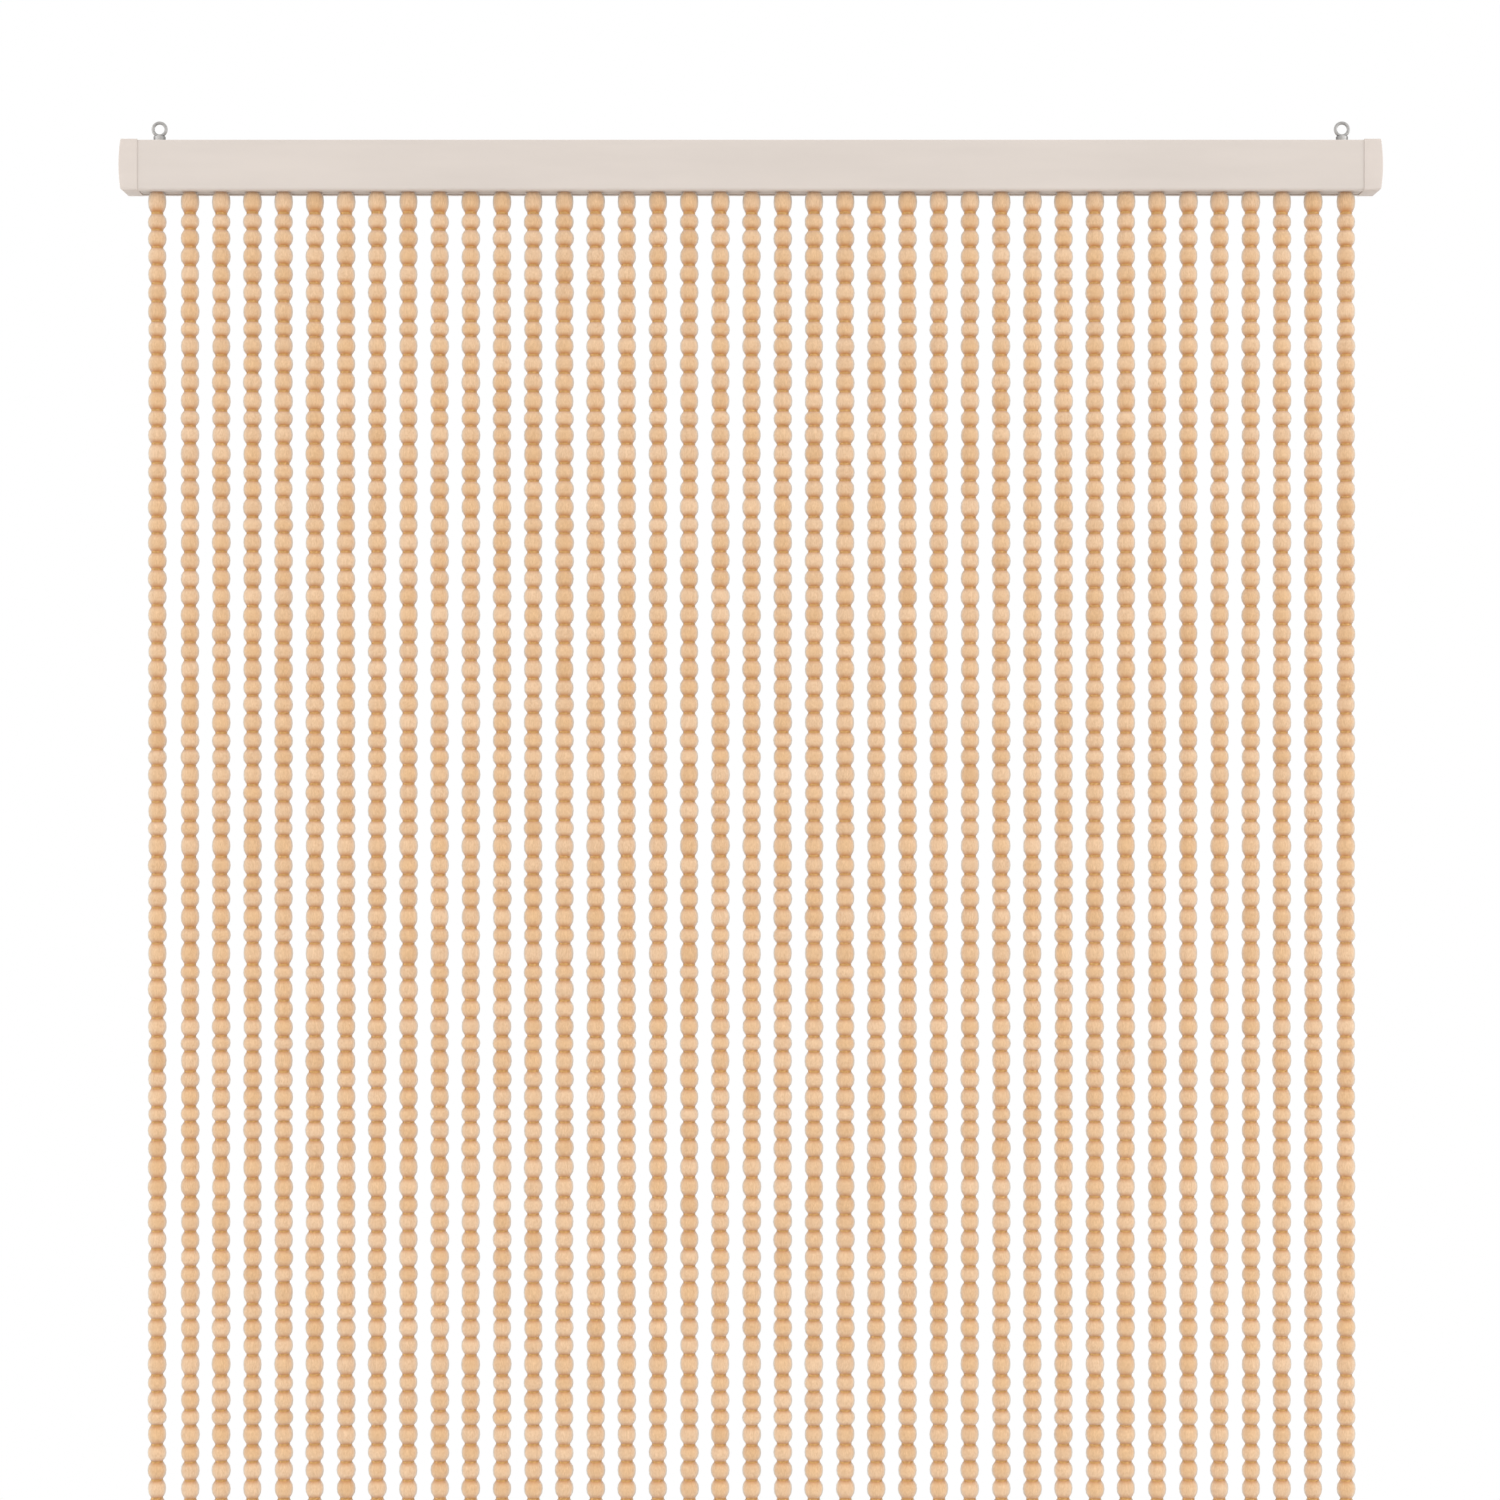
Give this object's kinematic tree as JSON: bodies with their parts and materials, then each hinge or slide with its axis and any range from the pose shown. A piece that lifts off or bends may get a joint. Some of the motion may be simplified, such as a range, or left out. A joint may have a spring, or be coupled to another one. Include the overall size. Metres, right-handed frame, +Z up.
{
  "type": "beaded fly curtain with header rail",
  "caption": "Doorway fly curtain: straight strings of bound yarn beads hang from a backing strip in a C-shaped header rail with end caps and hanging eyes.",
  "frame": {"origin": "midway between the centres of the two hanging eyes' rings", "axes": "+X along the rail to the right as seen from the front, -Y out of the front, +Z up; the strings hang towards -Z"},
  "size_m": [0.9, 0.0252, 2.1155],
  "materials": {
    "rail_lacquer": "satin cream lacquer",
    "cap_plastic": "satin moulded plastic, cream",
    "bound_yarn": "matte straw-coloured yarn, bound with gold thread",
    "eye_steel": "plain zinc-plated wire"
  },
  "bodies": {
    "root": {"rail": "rail_lacquer", "end_cap_left": "cap_plastic", "end_cap_right": "cap_plastic", "bead_strings": "bound_yarn", "eye_left": "eye_steel", "eye_right": "eye_steel"}
  },
  "joints": []
}
